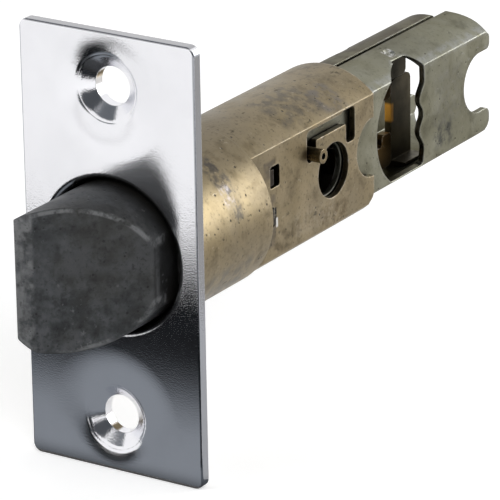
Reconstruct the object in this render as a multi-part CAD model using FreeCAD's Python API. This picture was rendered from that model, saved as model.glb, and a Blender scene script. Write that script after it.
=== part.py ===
import FreeCAD, Part
import os
import math

# Tubular door latch, in millimetres.
# X runs across the faceplate, +Y runs back into the door, +Z is up.
# Sizes along Y are counted from the faceplate's front face, as a backset is.
# The parts are written with the origin on the bolt's axis in the plate's back face.

os.makedirs("parts", exist_ok=True)

# Standard distances of the knob set that the latch serves
backset = 60.325            # faceplate to spindle, short setting
backset_step = 9.525        # how far the tail case draws out
post_offset = 20.0          # knob set posts, in front of and behind the spindle
bolt_throw = 12.7           # how far the bolt stands out

# Clearances
slide_gap = 0.25            # tail case in the housing
hole_gap = 0.4              # bolt in the plate's hole
link_gap = 0.3              # fork against the retractor plates
finger_gap = 0.15           # lock finger in its slots
end_gap = 0.6               # what stops short of another piece at the end of its travel

# Faceplate
plate_w = 25.4
plate_h = 57.15
plate_t = 1.4
plate_corner_r = 1.2
plate_edge_r = 0.25
lip_r = 0.8                 # rolled edge of the bolt hole
screw_end = 7.145           # from the plate's end to a screw hole's centre
screw_r = 2.5
sink_r = 4.3
sink_rim_r = 1.3            # rolled edge of the dimples
dimple_back = 2.8           # how far the pressed dimple reaches behind the front face
dimple_base_r = 5.1
dimple_top_r = 3.8

# Housing tube
tube_r = 10.55
tube_wall = 0.8
press_in = 0.2              # how much smaller the curved sides are behind the shoulder
flat_x = 7.2                # outside of the pressed flats
flange_r = 12.2
flange_t = 0.9
shoulder_y = 20.5           # where the flats start to drop in
housing_end = 50.4
ear_low_end = 49.0
ear_r = 1.4
post_hole_r = 3.7
scallop_r = 4.0
scallop_behind = 0.3        # its centre behind the front post, long setting
upper_slot_y = 25.15
upper_slot_w = 2.2
upper_slot_z = 3.45
upper_slot_h = 2.9
lower_slot_w = 1.6
lower_slot_z = -1.9
lower_slot_h = 2.8
finger_y = 35.05            # lock finger, short setting
finger_z = 3.75
finger_r = 0.95
finger_bore_r = 0.45
finger_out = 9.0            # how far the finger reaches from the axis
window_top = 6.95
channel_low = 5.3
left_slot_low = 2.7
right_slot_low = 2.6
right_slot_top = 7.25
window_r = 0.7

# Spring seat
seat_t = 0.8
seat_gap = 0.05
seat_tab_gap = 0.4

# Latch bolt
bolt_flat_x = 5.6           # flat on the straight side
bolt_side_x = 8.1           # flat on the bevelled side
nose_w = 2.9
nose_r = 1.2
tip_r = 0.6
bevel_end_y = -3.0
bevel_edge_r = 0.8
bolt_step_y = 2.6           # behind this the bolt is fully round
pocket_y = 4.0
pocket_r = 6.5
boss_x = 3.0
boss_z = 3.6
boss_end_y = 10.2
pin_y = 7.4
pin_r = 1.2

# Bolt spring
spring_r = 5.75
spring_wire = 0.9
spring_turns = 6.5
wire_sides = 12

# Drawbar, a flat fork in the middle plane
bar_half = 0.8
bar_front_y = 4.6
tang_z = 3.3
neck_z = 4.95
neck_y = 13.0
fork_taper = 1.6
fork_clear = 1.5            # fork to the round inside of the tail case
fork_gap = 3.85
crotch_gap = 1.8            # fork to the front post when the bolt is drawn in
upper_prong_end = 69.4
notch_w = 1.5
notch_depth = 1.2

# Tail case
case_wall = 0.8
case_front = 27.0
case_end = 81.8
ear_end = 82.6
far_end = 79.4
bend_z = 6.9
rear_notch_top = 4.5
rear_notch_low = -3.9
rear_notch_deep = 4.6       # reach of the rear notch in front of the rear post
case_post_r = 3.5
seam_half = 0.35
open_left_r = 8.3           # spindle opening: one big arc at the front
open_mid_y = 0.9            # its centre behind the spindle
open_low = -6.85
open_top = 8.4
open_top_r = 2.2
lobe_reach = 4.95           # three lobes at the rear, behind the spindle
lobe_zs = (-4.4, 0.3, 4.5)
lobe_r = 1.4
waist_reach = 3.3           # and the two waists between them
weld_mark_r = 1.3
weld_mark_lean = 74.0       # degrees up from the flat side
weld_mark_behind = 1.8      # behind the spindle

# Lock spring
leaf_t = 0.6
leaf_ahead = 5.45           # reach in front of the finger
leaf_behind = 2.15
leaf_half_w = 1.45
leaf_rivet_ahead = 3.65
leaf_rivet_r = 0.9
rivet_head_t = 0.6

# Retractor
retractor_t = 1.2
retractor_front = 45.0
retractor_web = 50.6
retractor_end = 63.0
tooth_w = 2.4
tooth_z = 2.4
retractor_rivet_in = 2.4    # behind the plates' front edge
retractor_rivet_z = 1.85
retractor_rivet_r = 1.1
retractor_head_r = 1.7

# Link clip
clip_t = 0.5
clip_in = 0.3               # behind the plates' front edge
clip_len = 4.9
clip_low = 4.6
clip_rivet_in = 1.4
clip_tooth_in = 3.5
clip_rivet_z = 5.75
clip_rivet_r = 0.7
clip_head_r = 1.1

# Guide web between the fork's prongs
web_half = 0.5
web_front = 66.0
web_back = 71.1
web_top = 3.6
web_foot = 2.6
web_foot_t = 0.8

# Sizes that follow from those above
tube_in_r = tube_r - tube_wall
plate_hole_r = tube_in_r
screw_spacing = plate_h - 2 * screw_end
rear_r = tube_r - press_in
rear_in_r = rear_r - tube_wall
flat_in_x = flat_x - tube_wall
bolt_r = plate_hole_r - hole_gap
bolt_end_y = shoulder_y - bolt_throw - end_gap
case_r = rear_in_r - slide_gap
case_x = flat_in_x - slide_gap
case_in_r = case_r - case_wall
case_in_x = case_x - case_wall
fork_z = case_in_r - fork_clear
shoulder_drop = tube_r - flat_x
post_y = backset - post_offset
rear_post_y = backset + post_offset
seat_y = upper_slot_y
lower_slot_y = seat_y + seat_t - lower_slot_w
wide_y = seat_y + seat_t + end_gap + fork_taper
crotch_y = post_y - case_post_r - bolt_throw - crotch_gap
lower_prong_end = web_front - bolt_throw - end_gap
leaf_front = finger_y - leaf_ahead
leaf_back = finger_y + leaf_behind
leaf_rivet_y = finger_y - leaf_rivet_ahead
retractor_rivet_y = retractor_front + retractor_rivet_in
clip_front = retractor_front + clip_in
clip_back = clip_front + clip_len
clip_rivet_y = retractor_front + clip_rivet_in
notch_y = retractor_front + clip_tooth_in
slot_half = finger_r + finger_gap
plate_x1 = bar_half + link_gap
plate_x2 = plate_x1 + retractor_t
far = 40.0


def box(x0, x1, y0, y1, z0, z1):
    corner = FreeCAD.Vector(x0, y0, z0)
    return Part.makeBox(x1 - x0, y1 - y0, z1 - z0, corner)


def rod_x(r, x0, x1, y, z):
    return Part.makeCylinder(r, x1 - x0, FreeCAD.Vector(x0, y, z), FreeCAD.Vector(1, 0, 0))


def rod_y(r, y0, y1, x=0.0, z=0.0):
    return Part.makeCylinder(r, y1 - y0, FreeCAD.Vector(x, y0, z), FreeCAD.Vector(0, 1, 0))


def cone_y(r0, r1, y0, y1, z=0.0):
    return Part.makeCone(r0, r1, y1 - y0, FreeCAD.Vector(0, y0, z), FreeCAD.Vector(0, 1, 0))


def rounded_outline(corners):
    """Closed outline through (u, v, radius) corners, as edges in the plane w = 0."""
    count = len(corners)
    joins = []
    for i in range(count):
        u, v, r = corners[i]
        here = FreeCAD.Vector(u, v, 0)
        before = FreeCAD.Vector(corners[i - 1][0], corners[i - 1][1], 0) - here
        after = FreeCAD.Vector(corners[(i + 1) % count][0], corners[(i + 1) % count][1], 0) - here
        before.normalize()
        after.normalize()
        half = before.getAngle(after) / 2
        reach = r / math.tan(half)
        middle = before + after
        if r > 0:
            middle.normalize()
            middle = here + middle * (r / math.sin(half) - r)
        joins.append((here + before * reach, middle, here + after * reach, r))
    edges = []
    for i in range(count):
        start, middle, stop, r = joins[i]
        if r > 0:
            edges.append(Part.Arc(start, middle, stop).toShape())
        ahead = joins[(i + 1) % count][0]
        if stop.distanceToPoint(ahead) > 1e-6:
            edges.append(Part.makeLine(stop, ahead))
    return Part.Wire(Part.__sortEdges__(edges))


def prism_x(corners, x0, x1):
    """Solid with a (y, z, radius) outline, from x0 to x1."""
    turn = FreeCAD.Matrix(0, 0, 1, x0, 1, 0, 0, 0, 0, 1, 0, 0, 0, 0, 0, 1)
    face = Part.Face(rounded_outline(corners))
    face.Placement = FreeCAD.Placement(turn)
    return face.extrude(FreeCAD.Vector(x1 - x0, 0, 0))


def prism_z(corners, z0, z1):
    """Solid with an (x, y, radius) outline, from z0 to z1."""
    face = Part.Face(rounded_outline(corners))
    face.translate(FreeCAD.Vector(0, 0, z0))
    return face.extrude(FreeCAD.Vector(0, 0, z1 - z0))


def flatted(r, half_x, y0, y1):
    """Round bar along Y with two flats."""
    return rod_y(r, y0, y1).common(box(-half_x, half_x, y0, y1, -r, r))


def edges_along(shape, axis):
    """Straight edges that run along the axis, an index into X, Y, Z."""
    found = []
    for edge in shape.Edges:
        if len(edge.Vertexes) < 2:
            continue
        run = edge.Vertexes[-1].Point - edge.Vertexes[0].Point
        if abs(abs(run[axis]) - edge.Length) < 1e-6:
            found.append(edge)
    return found


def faceplate():
    plate = box(-plate_w / 2, plate_w / 2, 0, plate_t, -plate_h / 2, plate_h / 2)
    plate = plate.makeFillet(plate_corner_r, edges_along(plate, 1))
    front = [e for e in plate.Edges if e.BoundBox.YMax < 1e-6]
    plate = plate.makeFillet(plate_edge_r, front)
    plate = plate.cut(rod_y(plate_hole_r, -1, plate_t + 1))
    rim = [e for e in plate.Edges if e.BoundBox.YMax < 1e-6 and abs(e.BoundBox.XMax - plate_hole_r) < 1e-3]
    plate = plate.makeFillet(lip_r, rim)
    for side in (-1, 1):
        z = side * screw_spacing / 2
        plate = plate.fuse(cone_y(dimple_base_r, dimple_top_r, plate_t / 2, dimple_back, z))
        plate = plate.cut(cone_y(sink_r, screw_r, 0, plate_t, z))
        plate = plate.cut(rod_y(screw_r, 0, dimple_back + 1, 0, z))
    plate = plate.removeSplitter()
    sinks = [e for e in plate.Edges if e.BoundBox.YMax < 1e-6 and abs(e.BoundBox.XMax - sink_r) < 1e-3]
    return plate.makeFillet(sink_rim_r, sinks)


def tube_form(front_r, back_r, half_x, y0, drop_y, y1):
    """Round front, sloping shoulder and flatted rear."""
    form = rod_y(front_r, y0, drop_y)
    form = form.fuse(cone_y(front_r, half_x, drop_y, drop_y + shoulder_drop))
    return form.fuse(flatted(back_r, half_x, drop_y, y1))


def adjust_window():
    """Two upright slots joined by a channel, in the right flat only."""
    left = (finger_y - slot_half, finger_y + slot_half)
    right = (left[0] + backset_step, left[1] + backset_step)
    corners = [
        (left[0], left_slot_low, window_r), (left[1], left_slot_low, window_r),
        (left[1], channel_low, 0.3), (right[0], channel_low, 0.3),
        (right[0], right_slot_low, window_r), (right[1], right_slot_low, window_r),
        (right[1], right_slot_top, window_r), (right[0] - 0.6, right_slot_top, 0.4),
        (right[0] - 1.2, window_top, 0.4), (left[0], window_top, window_r),
    ]
    return prism_x(corners, 0, far)


def housing_tube():
    inner_drop = shoulder_y - tube_wall * math.tan(math.radians(22.5))
    tube = tube_form(tube_r, rear_r, flat_x, plate_t, shoulder_y, housing_end)
    tube = tube.fuse(rod_y(flange_r, plate_t, plate_t + flange_t))
    tube = tube.cut(tube_form(tube_in_r, rear_in_r, flat_in_x, 0, inner_drop, far * 2))
    side = [
        (0, -far, 0), (ear_low_end, -far, 0), (ear_low_end, -flat_x - 0.2, 0.6),
        (housing_end, -flat_x + 0.6, ear_r), (housing_end, far, 0), (0, far, 0),
    ]
    tube = tube.common(prism_x(side, -far, far))
    tube = tube.cut(rod_x(post_hole_r, -far, far, post_y, 0))
    tube = tube.cut(rod_x(scallop_r, -far, far, post_y + backset_step + scallop_behind, 0.2))
    for y, w, z, h in (
        (upper_slot_y, upper_slot_w, upper_slot_z, upper_slot_h),
        (lower_slot_y, lower_slot_w, lower_slot_z, lower_slot_h),
    ):
        slot = box(-far, far, y, y + w, z - h / 2, z + h / 2)
        tube = tube.cut(slot.makeFillet(0.35, edges_along(slot, 0)))
    return tube.cut(adjust_window()).removeSplitter()


def spring_seat():
    seat = flatted(rear_in_r - seat_gap, flat_in_x - seat_gap, seat_y, seat_y + seat_t)
    for z, h in ((upper_slot_z, upper_slot_h), (lower_slot_z, lower_slot_h)):
        half = h / 2 - seat_tab_gap
        seat = seat.fuse(box(-flat_x, flat_x, seat_y, seat_y + seat_t, z - half, z + half))
    slot_x = bar_half + link_gap
    slot_z = neck_z + link_gap
    seat = seat.cut(box(-slot_x, slot_x, 0, far, -slot_z, slot_z))
    return seat.removeSplitter()


def latch_bolt():
    nose_x = -bolt_flat_x + nose_w
    plan = [
        (-bolt_flat_x, bolt_step_y, 0), (-bolt_flat_x, -bolt_throw, tip_r), (nose_x, -bolt_throw, nose_r),
        (bolt_side_x, bevel_end_y, bevel_edge_r), (bolt_side_x, bolt_step_y, 0),
    ]
    head = prism_z(plan, -far, far).common(rod_y(bolt_r, -bolt_throw - 1, bolt_step_y))
    bolt = head.fuse(rod_y(bolt_r, bolt_step_y, bolt_end_y))
    bolt = bolt.cut(rod_y(pocket_r, pocket_y, bolt_end_y + 1))
    bolt = bolt.fuse(box(-boss_x, boss_x, pocket_y, boss_end_y, -boss_z, boss_z))
    bolt = bolt.cut(box(-bar_half, bar_half, pocket_y, boss_end_y + 1, -boss_z - 1, boss_z + 1))
    bolt = bolt.cut(rod_x(pin_r, -far, far, pin_y, 0).common(box(-boss_x, boss_x, 0, far, -far, far)))
    return bolt.removeSplitter()


def bolt_spring():
    """Coil between the bolt and its seat; the wire is many-sided, so that it meshes closed."""
    height = seat_y - pocket_y - spring_wire
    pitch = height / spring_turns
    start = FreeCAD.Vector(spring_r, 0, 0)
    lead = FreeCAD.Vector(0, 2 * math.pi * spring_r, pitch)
    lead.normalize()
    out = FreeCAD.Vector(1, 0, 0)
    up = lead.cross(out)
    ring = []
    for k in range(wire_sides):
        turn = 2 * math.pi * k / wire_sides
        ring.append(start + (out * math.cos(turn) + up * math.sin(turn)) * (spring_wire / 2))
    section = Part.makePolygon(ring + ring[:1])
    coil = Part.Wire(Part.makeHelix(pitch, height, spring_r)).makePipeShell([section], True, True)
    coil.rotate(FreeCAD.Vector(0, 0, 0), FreeCAD.Vector(1, 0, 0), -90)
    coil.translate(FreeCAD.Vector(0, pocket_y + spring_wire / 2, 0))
    return coil


def drawbar():
    bar = prism_x([
        (bar_front_y, -tang_z, 0.6), (neck_y - 1.5, -tang_z, 0.5), (neck_y, -neck_z, 0.6),
        (wide_y - fork_taper, -neck_z, 0.5), (wide_y, -fork_z, 0.8), (lower_prong_end, -fork_z, 0.8),
        (lower_prong_end, -fork_gap, 0.8), (crotch_y, -fork_gap, fork_gap - 0.01),
        (crotch_y, fork_gap, fork_gap - 0.01), (upper_prong_end, fork_gap, 0.8),
        (upper_prong_end, fork_z, 0.8), (wide_y, fork_z, 0.8), (wide_y - fork_taper, neck_z, 0.5),
        (neck_y, neck_z, 0.6), (neck_y - 1.5, tang_z, 0.5), (bar_front_y, tang_z, 0.6),
    ], -bar_half, bar_half)
    for step in (0, backset_step):
        y = notch_y + step
        bar = bar.cut(box(-far, far, y - notch_w / 2, y + notch_w / 2, fork_z - notch_depth, far))
    return bar.cut(rod_x(pin_r, -far, far, pin_y, 0))


def drawbar_pin():
    return rod_x(pin_r, -boss_x, boss_x, pin_y, 0)


def case_side(top_end, top_r):
    """Side outline of one half of the tail case, with the rear notch."""
    deep = rear_post_y - rear_notch_deep
    notch_r = (rear_notch_top - rear_notch_low) / 2 - 0.01
    return [
        (case_front, -far, 0), (case_end - 2.4, -far, 0), (case_end - 2.4, -bend_z - 1.2, 0.6),
        (ear_end, -bend_z + 0.6, 1.4), (ear_end, rear_notch_low, 1.1), (deep, rear_notch_low, notch_r),
        (deep, rear_notch_top, notch_r), (ear_end, rear_notch_top, 0.8), (ear_end, bend_z - 0.5, 0.9),
        (top_end, bend_z, 0.2), (top_end, case_r + 0.1, top_r), (case_front, case_r + 0.1, 0.5),
    ]


def spindle_opening():
    """Through both walls: a wide arc in front, and a wavy edge with three lobes behind."""
    mid = backset + open_mid_y
    reach = backset + lobe_reach
    front = rod_x(open_left_r, -far, far, mid, 0)
    front = front.common(box(-far, far, 0, mid, open_low, open_top))
    edge = [(mid - 1, open_low, 0), (reach - 0.5, open_low, 0.8)]
    for k in range(len(lobe_zs)):
        edge.append((reach, lobe_zs[k], lobe_r))
        if k + 1 < len(lobe_zs):
            edge.append((backset + waist_reach, (lobe_zs[k] + lobe_zs[k + 1]) / 2, lobe_r))
    edge += [(reach - 0.2, open_top, open_top_r), (mid - 1, open_top, 0)]
    return front.fuse(prism_x(edge, -far, far))


def tail_case():
    shell = flatted(case_r, case_x, case_front, ear_end)
    shell = shell.cut(flatted(case_in_r, case_in_x, 0, far * 3))
    shell = shell.cut(box(-seam_half, seam_half, 0, far * 3, 0, far))
    shell = shell.cut(rod_x(case_post_r, -far, far, post_y, 0))
    shell = shell.cut(spindle_opening())
    near = shell.common(prism_x(case_side(case_end, 1.6), 0, far))
    away = shell.common(prism_x(case_side(far_end, 1.9), -far, 0))
    case = near.fuse(away).removeSplitter()
    case = case.cut(rod_x(finger_r + slide_gap, 0, far, finger_y, finger_z))
    case = case.cut(rod_x(leaf_rivet_r, 0, far, leaf_rivet_y, finger_z))
    lean = math.radians(weld_mark_lean)
    away_r = case_r + 0.9
    mark = FreeCAD.Vector(away_r * math.cos(lean), backset + weld_mark_behind, away_r * math.sin(lean))
    ball = Part.makeSphere(weld_mark_r, mark, FreeCAD.Vector(0, 1, 0))
    return case.cut(ball).removeSplitter()


def guide_web():
    web = prism_x([
        (web_front, -case_in_r, 0), (web_back, -case_in_r, 0),
        (web_back, web_top, 1.0), (web_front, web_top, 1.0),
    ], -web_half, web_half)
    web = web.fuse(box(-web_foot, web_foot, web_front, web_back, -far, -case_in_r + web_foot_t))
    return web.common(rod_y(case_in_r, 0, far * 3)).removeSplitter()


def lock_spring():
    inner = case_in_x - leaf_t
    leaf = prism_x([
        (leaf_front, finger_z - leaf_half_w, 0.5), (leaf_back, finger_z - leaf_half_w, 0.5),
        (leaf_back, finger_z + leaf_half_w, 0.5), (leaf_front, finger_z + leaf_half_w, 0.5),
    ], inner, case_in_x)
    leaf = leaf.fuse(rod_x(finger_r, inner, finger_out, finger_y, finger_z))
    leaf = leaf.cut(rod_x(finger_bore_r, 0, far, finger_y, finger_z))
    return leaf.cut(rod_x(leaf_rivet_r, 0, far, leaf_rivet_y, finger_z)).removeSplitter()


def lock_spring_rivet():
    inner = case_in_x - leaf_t
    rivet = rod_x(leaf_rivet_r, inner, case_x, leaf_rivet_y, finger_z)
    head = rod_x(leaf_half_w, inner - rivet_head_t, inner, leaf_rivet_y, finger_z)
    return rivet.fuse(head).removeSplitter()


def retractor_plate(side):
    """side is +1 for the right plate and -1 for the left one."""
    web, end, gap = retractor_web, retractor_end, fork_gap
    x0, x1 = sorted((side * plate_x1, side * plate_x2))
    plate = prism_x([
        (retractor_front, -fork_z, 1.0), (end, -fork_z, 1.0), (end, -tooth_z, 0.6),
        (end - tooth_w, -tooth_z, 0.6), (end - tooth_w, -gap, 0.3), (web, -gap, 1.5),
        (web, gap, 1.5), (end - tooth_w, gap, 0.3), (end - tooth_w, tooth_z, 0.6),
        (end, tooth_z, 0.6), (end, fork_z, 1.0), (retractor_front, fork_z, 1.0),
    ], x0, x1)
    for z in (-retractor_rivet_z, retractor_rivet_z):
        plate = plate.cut(rod_x(retractor_rivet_r, -far, far, retractor_rivet_y, z))
    if side > 0:
        plate = plate.cut(rod_x(clip_rivet_r, 0, far, clip_rivet_y, clip_rivet_z))
    return plate


def retractor_rivet(side):
    z = side * retractor_rivet_z
    rivet = rod_x(retractor_rivet_r, -plate_x2, plate_x2, retractor_rivet_y, z)
    rivet = rivet.fuse(rod_x(retractor_head_r, -plate_x2 - rivet_head_t, -plate_x2, retractor_rivet_y, z))
    rivet = rivet.fuse(rod_x(retractor_head_r, plate_x2, plate_x2 + rivet_head_t, retractor_rivet_y, z))
    shoulder = rod_x(retractor_head_r, -plate_x1, plate_x1, retractor_rivet_y, z)
    return rivet.fuse(shoulder).removeSplitter()


def link_clip():
    tooth_half = notch_w / 2 - finger_gap
    top = fork_z + clip_t
    clip = box(plate_x2, plate_x2 + clip_t, clip_front, clip_back, clip_low, top)
    clip = clip.fuse(box(-bar_half, plate_x2, notch_y - tooth_half, notch_y + tooth_half, fork_z, top))
    low = fork_z - notch_depth + 0.1
    tooth = box(-bar_half, bar_half, notch_y - tooth_half, notch_y + tooth_half, low, top)
    clip = clip.fuse(tooth)
    return clip.cut(rod_x(clip_rivet_r, 0, far, clip_rivet_y, clip_rivet_z)).removeSplitter()


def link_clip_rivet():
    outer = plate_x2 + clip_t
    rivet = rod_x(clip_rivet_r, plate_x1, outer, clip_rivet_y, clip_rivet_z)
    head = rod_x(clip_head_r, outer, outer + rivet_head_t, clip_rivet_y, clip_rivet_z)
    return rivet.fuse(head).removeSplitter()


def main():
    nodes = {
        "faceplate": faceplate(),
        "housing_tube": housing_tube(),
        "spring_seat": spring_seat(),
        "bolt_spring": bolt_spring(),
        "latch_bolt": latch_bolt(),
        "drawbar": drawbar(),
        "drawbar_pin": drawbar_pin(),
        "tail_case": tail_case(),
        "guide_web": guide_web(),
        "lock_spring": lock_spring(),
        "lock_spring_rivet": lock_spring_rivet(),
        "retractor_plate_right": retractor_plate(1),
        "retractor_plate_left": retractor_plate(-1),
        "retractor_rivet_upper": retractor_rivet(1),
        "retractor_rivet_lower": retractor_rivet(-1),
        "link_clip": link_clip(),
        "link_clip_rivet": link_clip_rivet(),
    }
    for name, shape in nodes.items():
        shape.translate(FreeCAD.Vector(0, -plate_t, 0))
        shape.exportStep(os.path.join("parts", name + ".step"))


main()
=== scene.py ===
"""Looks of a tubular door latch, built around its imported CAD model."""

import logging
import math
from dataclasses import dataclass, field
from enum import Enum
from typing import Any, Dict, List, Optional, Sequence, Tuple

import bpy
from mathutils import Matrix, Vector


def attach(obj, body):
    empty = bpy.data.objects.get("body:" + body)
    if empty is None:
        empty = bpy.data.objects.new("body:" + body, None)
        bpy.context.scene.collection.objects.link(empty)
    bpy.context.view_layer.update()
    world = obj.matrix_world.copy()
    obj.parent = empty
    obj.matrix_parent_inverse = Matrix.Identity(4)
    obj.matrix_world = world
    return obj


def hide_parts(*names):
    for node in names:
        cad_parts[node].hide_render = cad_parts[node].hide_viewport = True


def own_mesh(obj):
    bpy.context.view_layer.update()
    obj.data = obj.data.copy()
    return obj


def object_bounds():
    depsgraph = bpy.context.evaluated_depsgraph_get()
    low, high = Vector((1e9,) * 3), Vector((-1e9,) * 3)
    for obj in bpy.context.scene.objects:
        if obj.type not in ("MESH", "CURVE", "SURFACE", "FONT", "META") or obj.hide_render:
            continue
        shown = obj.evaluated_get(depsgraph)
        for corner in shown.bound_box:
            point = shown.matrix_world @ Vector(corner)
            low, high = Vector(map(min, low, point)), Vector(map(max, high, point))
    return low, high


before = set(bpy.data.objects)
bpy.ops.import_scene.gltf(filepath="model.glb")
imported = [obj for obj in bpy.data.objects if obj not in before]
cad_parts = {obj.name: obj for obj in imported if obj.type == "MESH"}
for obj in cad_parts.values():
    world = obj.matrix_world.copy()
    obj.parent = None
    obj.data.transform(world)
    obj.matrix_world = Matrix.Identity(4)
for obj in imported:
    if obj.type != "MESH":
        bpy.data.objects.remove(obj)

LOG = logging.getLogger("latch_scene")
CAD_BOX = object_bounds()
MM = 0.001

Colour = Tuple[float, float, float]
Place = Tuple[float, float]
Point = Tuple[float, float, float]
Span = Tuple[float, float]

# Rays of each test for an edge or a corner
EDGE_SAMPLES = 6

# Noise values between which a mottle goes from nothing to full
BLOTCH_SPAN: Span = (0.38, 0.68)
TINT_SPAN: Span = (0.42, 0.62)
STAIN_SPAN: Span = (0.48, 0.72)
GRIT_SPAN: Span = (0.53, 0.72)
MARK_SPAN: Span = (0.36, 0.62)
RIM_SPAN: Span = (0.42, 0.60)

# Scales of patterns, per millimetre
TINT_SCALE = 0.075
GRIT_SCALE = 2.2
RIM_SCALE = 0.5
SCUFF_SCALE = 1.3
FLECK_SCALE = 1.6

# Other settings of scratches, pale flecks and rubbed edges; the shift and the bare ring are in millimetres
SCUFF_WIDTH, SCUFF_ROUGHNESS = 0.42, 0.15
FLECK_WIDTH, FLECK_AMOUNT = 0.36, 0.6
FLECK_SHIFT: Point = (31.0, 17.0, 53.0)
WEAR_BREAKUP = 0.6
WEAR_FREE_HALF, WEAR_FREE_SOFT = 0.7, 0.4


class Body(Enum):
    """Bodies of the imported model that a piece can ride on."""

    HOUSING = "housing"
    BOLT = "bolt"
    TAIL = "tail"
    RETRACTOR = "retractor"


class Axis(Enum):
    """Axes of the row frame, as outputs of a Separate XYZ node."""

    ACROSS = "X"
    BACK = "Y"
    UP = "Z"


class Graph:
    """Short calls for building one node tree."""

    def __init__(self, tree: bpy.types.NodeTree) -> None:
        """Keep the node tree that the calls add to."""
        self.tree = tree

    def add(self, kind: str, inputs: Optional[Dict[Any, Any]] = None, **settings: Any) -> bpy.types.Node:
        """Add a node.

        Args:
            kind: Blender's name of the node type.
            inputs: values, or sockets to link from, by input name or index.
            settings: properties of the node.

        Returns:
            The new node.
        """
        node = self.tree.nodes.new(kind)
        for name, value in settings.items():
            setattr(node, name, value)
        for name, value in (inputs or {}).items():
            self.feed(node.inputs[name], value)
        return node

    def feed(self, socket: bpy.types.NodeSocket, value: Any) -> None:
        """Set or link one input.

        Args:
            socket: the input.
            value: a number, a tuple, or an output socket to link from.
        """
        if isinstance(value, bpy.types.NodeSocket):
            self.tree.links.new(value, socket)
        elif isinstance(value, tuple) and socket.type == "RGBA" and len(value) == 3:
            socket.default_value = (*value, 1.0)
        else:
            socket.default_value = value

    def math(self, operation: str, *values: Any, clamp: bool = False) -> bpy.types.NodeSocket:
        """Add a Math node on numbers or sockets, and give its result, clamped to 0 and 1 if asked."""
        inputs = dict(enumerate(values))
        return self.add("ShaderNodeMath", inputs, operation=operation, use_clamp=clamp).outputs[0]

    def inverse(self, value: Any) -> bpy.types.NodeSocket:
        """Turn a mask round: one less the mask."""
        return self.math("SUBTRACT", 1.0, value)

    def length(self, one: bpy.types.NodeSocket, other: bpy.types.NodeSocket) -> bpy.types.NodeSocket:
        """Length of a line from its two parts, which are square to each other."""
        squares = [self.math("MULTIPLY", part, part) for part in (one, other)]
        return self.math("SQRT", self.math("ADD", *squares))

    def smooth(self, value: Any, low: Any, high: Any) -> bpy.types.NodeSocket:
        """Add a smooth step of a value, from 0 at low to 1 at high."""
        inputs = {"Value": value, "From Min": low, "From Max": high}
        return self.add("ShaderNodeMapRange", inputs, interpolation_type="SMOOTHSTEP").outputs[0]

    def lay(self, mask: Any, share: float, under: Any, over: Any) -> bpy.types.NodeSocket:
        """Lay a colour over another.

        Args:
            mask: where the second colour shows.
            share: how much of it shows there.
            under: the first colour.
            over: the second colour.

        Returns:
            The mixed colour.
        """
        node = self.add("ShaderNodeMix", data_type="RGBA")
        self.feed(node.inputs[0], self.math("MULTIPLY", mask, share))
        self.feed(node.inputs[6], under)
        self.feed(node.inputs[7], over)
        return node.outputs[2]

    def group(self, tree: bpy.types.NodeTree, inputs: Dict[str, Any]) -> bpy.types.NodeSocket:
        """Place a shared effect.

        Args:
            tree: the effect's node group.
            inputs: its values by name.

        Returns:
            The effect's first output.
        """
        node = self.add("ShaderNodeGroup", node_tree=tree)
        for name, value in inputs.items():
            self.feed(node.inputs[name], value)
        return node.outputs[0]


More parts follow.
